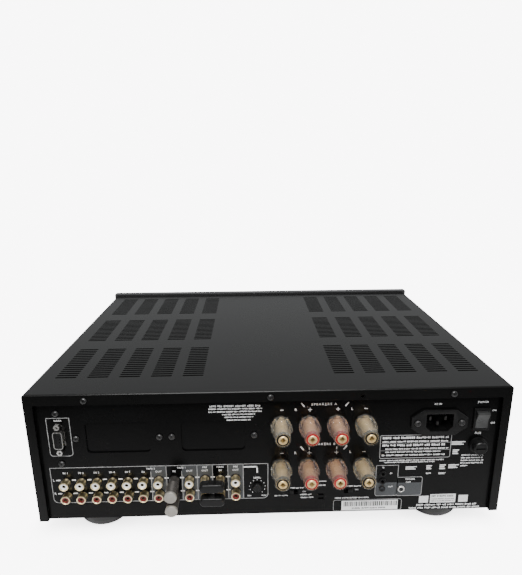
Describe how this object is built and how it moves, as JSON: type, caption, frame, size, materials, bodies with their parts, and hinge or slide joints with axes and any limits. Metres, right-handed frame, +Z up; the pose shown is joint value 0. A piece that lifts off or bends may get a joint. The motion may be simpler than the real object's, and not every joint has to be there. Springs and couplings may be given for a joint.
{
  "type": "integrated amplifier",
  "caption": "Stereo integrated amplifier in a low black steel case with slotted cover, rear phono sockets, clear binding posts, mains inlet, and front knobs and buttons.",
  "frame": {"origin": "centre of the object's box, on the surface that the feet stand on", "axes": "+Z up, -Y towards the control fascia, +Y towards the socket panel, +X to the left as seen from behind"},
  "size_m": [0.435, 0.404, 0.143],
  "materials": {
    "black_steel": "satin powder coat, screen printed",
    "cover_steel": "fine textured powder coat",
    "plated_steel": "zinc plated",
    "black_aluminium": "black anodised, brushed",
    "foot_plastic": "moulded, with a rubber ring",
    "screw_steel": "black zinc",
    "winding_tape": "polyester tape over windings",
    "heatsink_aluminium": "black anodised",
    "capacitor_sleeve": "shrink sleeve",
    "circuit_board": "solder mask",
    "gold_plate": "gold plated, turned",
    "white_plastic": "moulded",
    "red_plastic": "moulded",
    "nickel_plate": "satin nickel",
    "black_plastic": "moulded, fine grain",
    "gloss_black_plastic": "moulded",
    "clear_plastic": "clear polycarbonate",
    "rocker_plastic": "moulded",
    "fuse_glass": "glass tube",
    "plug_metal": "ribbed, satin nickel end",
    "knob_aluminium": "black anodised, turned"
  },
  "bodies": {
    "chassis": {"bottom_pan": "black_steel", "rear_panel": "black_steel", "front_frame": "plated_steel", "fascia": "black_aluminium", "top_cover": "cover_steel", "feet": "foot_plastic", "machine_screws": "screw_steel", "transformer": "winding_tape", "heatsinks": "heatsink_aluminium", "reservoir_capacitors": "capacitor_sleeve", "amplifier_board": "circuit_board", "input_board": "circuit_board", "control_board": "circuit_board", "rca_shells": "gold_plate", "rca_inserts_white": "white_plastic", "rca_inserts_red": "red_plastic", "serial_shell": "nickel_plate", "serial_insulator": "black_plastic", "blank_plates": "black_steel", "inlet_socket": "gloss_black_plastic", "inlet_pins": "nickel_plate", "switch_frames": "black_plastic", "fuse_holder": "black_plastic", "jack_sockets": "black_plastic", "post_bases": "clear_plastic", "post_stems": "gold_plate"},
    "mains_rocker": {"mains_rocker": "rocker_plastic"},
    "fuse_link": {"fuse_link": "fuse_glass"},
    "fuse_cap": {"fuse_cap": "black_plastic"},
    "slider_left": {"slider_left": "black_plastic"},
    "slider_right": {"slider_right": "black_plastic"},
    "level_knob": {"level_knob": "black_plastic"},
    "shorting_plug_upper": {"shorting_plug_upper": "plug_metal"},
    "link_bar_upper": {"link_bar_upper": "black_plastic"},
    "shorting_plug_lower": {"shorting_plug_lower": "plug_metal"},
    "link_bar_lower": {"link_bar_lower": "black_plastic"},
    "post_core_a1": {"post_core_a1": "gold_plate"},
    "post_grip_a1": {"post_grip_a1": "clear_plastic"},
    "post_core_a2": {"post_core_a2": "gold_plate"},
    "post_grip_a2": {"post_grip_a2": "clear_plastic"},
    "post_core_a3": {"post_core_a3": "gold_plate"},
    "post_grip_a3": {"post_grip_a3": "clear_plastic"},
    "post_core_a4": {"post_core_a4": "gold_plate"},
    "post_grip_a4": {"post_grip_a4": "clear_plastic"},
    "post_core_b1": {"post_core_b1": "gold_plate"},
    "post_grip_b1": {"post_grip_b1": "clear_plastic"},
    "post_core_b2": {"post_core_b2": "gold_plate"},
    "post_grip_b2": {"post_grip_b2": "clear_plastic"},
    "post_core_b3": {"post_core_b3": "gold_plate"},
    "post_grip_b3": {"post_grip_b3": "clear_plastic"},
    "post_core_b4": {"post_core_b4": "gold_plate"},
    "post_grip_b4": {"post_grip_b4": "clear_plastic"},
    "volume_knob": {"volume_knob": "knob_aluminium"},
    "source_knob": {"source_knob": "knob_aluminium"},
    "bass_knob": {"bass_knob": "knob_aluminium"},
    "treble_knob": {"treble_knob": "knob_aluminium"},
    "balance_knob": {"balance_knob": "knob_aluminium"},
    "power_button": {"power_button": "black_plastic"},
    "speaker_a_button": {"speaker_a_button": "black_plastic"},
    "speaker_b_button": {"speaker_b_button": "black_plastic"}
  },
  "joints": [
    {"name": "mains_rocker_tilt", "type": "hinge", "parent": "chassis", "child": "mains_rocker", "pos_m": [-0.191, 0.1724, 0.10698], "axis": [1, 0, 0], "range_deg": [0, 26]},
    {"name": "fuse_pull", "type": "slide", "parent": "chassis", "child": "fuse_link", "axis": [0, 1, 0], "range_m": [0, 0.03]},
    {"name": "fuse_cap_turn", "type": "hinge", "parent": "fuse_link", "child": "fuse_cap", "pos_m": [-0.1905, 0.173, 0.08048], "axis": [0, 1, 0], "range_deg": [0, 90]},
    {"name": "slider_left_slide", "type": "slide", "parent": "chassis", "child": "slider_left", "axis": [-1, 0, 0], "range_m": [0, 0.0038]},
    {"name": "slider_right_slide", "type": "slide", "parent": "chassis", "child": "slider_right", "axis": [1, 0, 0], "range_m": [0, 0.0038]},
    {"name": "level_turn", "type": "hinge", "parent": "chassis", "child": "level_knob", "pos_m": [0.0125, 0.173, 0.04144], "axis": [0, 1, 0], "range_deg": [-150, 150]},
    {"name": "shorting_plug_upper_pull", "type": "slide", "parent": "chassis", "child": "shorting_plug_upper", "axis": [0, 1, 0], "range_m": [0, 0.02]},
    {"name": "link_bar_upper_pull", "type": "slide", "parent": "chassis", "child": "link_bar_upper", "axis": [0, 1, 0], "range_m": [0, 0.02]},
    {"name": "shorting_plug_lower_pull", "type": "slide", "parent": "chassis", "child": "shorting_plug_lower", "axis": [0, 1, 0], "range_m": [0, 0.02]},
    {"name": "link_bar_lower_pull", "type": "slide", "parent": "chassis", "child": "link_bar_lower", "axis": [0, 1, 0], "range_m": [0, 0.02]},
    {"name": "post_travel_a1", "type": "slide", "parent": "chassis", "child": "post_core_a1", "axis": [0, 1, 0], "range_m": [0, 0.006]},
    {"name": "post_turn_a1", "type": "hinge", "parent": "post_core_a1", "child": "post_grip_a1", "pos_m": [-0.0095, 0.173, 0.10518], "axis": [0, 1, 0], "range_deg": [0, 2160]},
    {"name": "post_travel_a2", "type": "slide", "parent": "chassis", "child": "post_core_a2", "axis": [0, 1, 0], "range_m": [0, 0.006]},
    {"name": "post_turn_a2", "type": "hinge", "parent": "post_core_a2", "child": "post_grip_a2", "pos_m": [-0.0346, 0.173, 0.10518], "axis": [0, 1, 0], "range_deg": [0, 2160]},
    {"name": "post_travel_a3", "type": "slide", "parent": "chassis", "child": "post_core_a3", "axis": [0, 1, 0], "range_m": [0, 0.006]},
    {"name": "post_turn_a3", "type": "hinge", "parent": "post_core_a3", "child": "post_grip_a3", "pos_m": [-0.0597, 0.173, 0.10518], "axis": [0, 1, 0], "range_deg": [0, 2160]},
    {"name": "post_travel_a4", "type": "slide", "parent": "chassis", "child": "post_core_a4", "axis": [0, 1, 0], "range_m": [0, 0.006]},
    {"name": "post_turn_a4", "type": "hinge", "parent": "post_core_a4", "child": "post_grip_a4", "pos_m": [-0.0848, 0.173, 0.10518], "axis": [0, 1, 0], "range_deg": [0, 2160]},
    {"name": "post_travel_b1", "type": "slide", "parent": "chassis", "child": "post_core_b1", "axis": [0, 1, 0], "range_m": [0, 0.006]},
    {"name": "post_turn_b1", "type": "hinge", "parent": "post_core_b1", "child": "post_grip_b1", "pos_m": [-0.0095, 0.173, 0.06192], "axis": [0, 1, 0], "range_deg": [0, 2160]},
    {"name": "post_travel_b2", "type": "slide", "parent": "chassis", "child": "post_core_b2", "axis": [0, 1, 0], "range_m": [0, 0.006]},
    {"name": "post_turn_b2", "type": "hinge", "parent": "post_core_b2", "child": "post_grip_b2", "pos_m": [-0.0346, 0.173, 0.06192], "axis": [0, 1, 0], "range_deg": [0, 2160]},
    {"name": "post_travel_b3", "type": "slide", "parent": "chassis", "child": "post_core_b3", "axis": [0, 1, 0], "range_m": [0, 0.006]},
    {"name": "post_turn_b3", "type": "hinge", "parent": "post_core_b3", "child": "post_grip_b3", "pos_m": [-0.0597, 0.173, 0.06192], "axis": [0, 1, 0], "range_deg": [0, 2160]},
    {"name": "post_travel_b4", "type": "slide", "parent": "chassis", "child": "post_core_b4", "axis": [0, 1, 0], "range_m": [0, 0.006]},
    {"name": "post_turn_b4", "type": "hinge", "parent": "post_core_b4", "child": "post_grip_b4", "pos_m": [-0.0848, 0.173, 0.06192], "axis": [0, 1, 0], "range_deg": [0, 2160]},
    {"name": "volume_knob_turn", "type": "hinge", "parent": "chassis", "child": "volume_knob", "pos_m": [0.15, -0.18, 0.076], "axis": [0, 1, 0], "range_deg": [-150, 150]},
    {"name": "source_knob_turn", "type": "hinge", "parent": "chassis", "child": "source_knob", "pos_m": [0.088, -0.18, 0.076], "axis": [0, 1, 0], "range_deg": [-105, 105]},
    {"name": "bass_knob_turn", "type": "hinge", "parent": "chassis", "child": "bass_knob", "pos_m": [0.014, -0.18, 0.076], "axis": [0, 1, 0], "range_deg": [-150, 150]},
    {"name": "treble_knob_turn", "type": "hinge", "parent": "chassis", "child": "treble_knob", "pos_m": [-0.024, -0.18, 0.076], "axis": [0, 1, 0], "range_deg": [-150, 150]},
    {"name": "balance_knob_turn", "type": "hinge", "parent": "chassis", "child": "balance_knob", "pos_m": [-0.062, -0.18, 0.076], "axis": [0, 1, 0], "range_deg": [-150, 150]},
    {"name": "power_button_push", "type": "slide", "parent": "chassis", "child": "power_button", "axis": [0, 1, 0], "range_m": [0, 0.003], "stiffness_N_per_m": 300, "springref_m": -0.001},
    {"name": "speaker_a_button_push", "type": "slide", "parent": "chassis", "child": "speaker_a_button", "axis": [0, 1, 0], "range_m": [0, 0.003], "stiffness_N_per_m": 300, "springref_m": -0.001},
    {"name": "speaker_b_button_push", "type": "slide", "parent": "chassis", "child": "speaker_b_button", "axis": [0, 1, 0], "range_m": [0, 0.003], "stiffness_N_per_m": 300, "springref_m": -0.001}
  ],
  "couplings": [
    {"joint": "post_turn_a1", "follows": "post_travel_a1", "rad_per_m": 6283},
    {"joint": "post_turn_a2", "follows": "post_travel_a2", "rad_per_m": 6283},
    {"joint": "post_turn_a3", "follows": "post_travel_a3", "rad_per_m": 6283},
    {"joint": "post_turn_a4", "follows": "post_travel_a4", "rad_per_m": 6283},
    {"joint": "post_turn_b1", "follows": "post_travel_b1", "rad_per_m": 6283},
    {"joint": "post_turn_b2", "follows": "post_travel_b2", "rad_per_m": 6283},
    {"joint": "post_turn_b3", "follows": "post_travel_b3", "rad_per_m": 6283},
    {"joint": "post_turn_b4", "follows": "post_travel_b4", "rad_per_m": 6283}
  ]
}
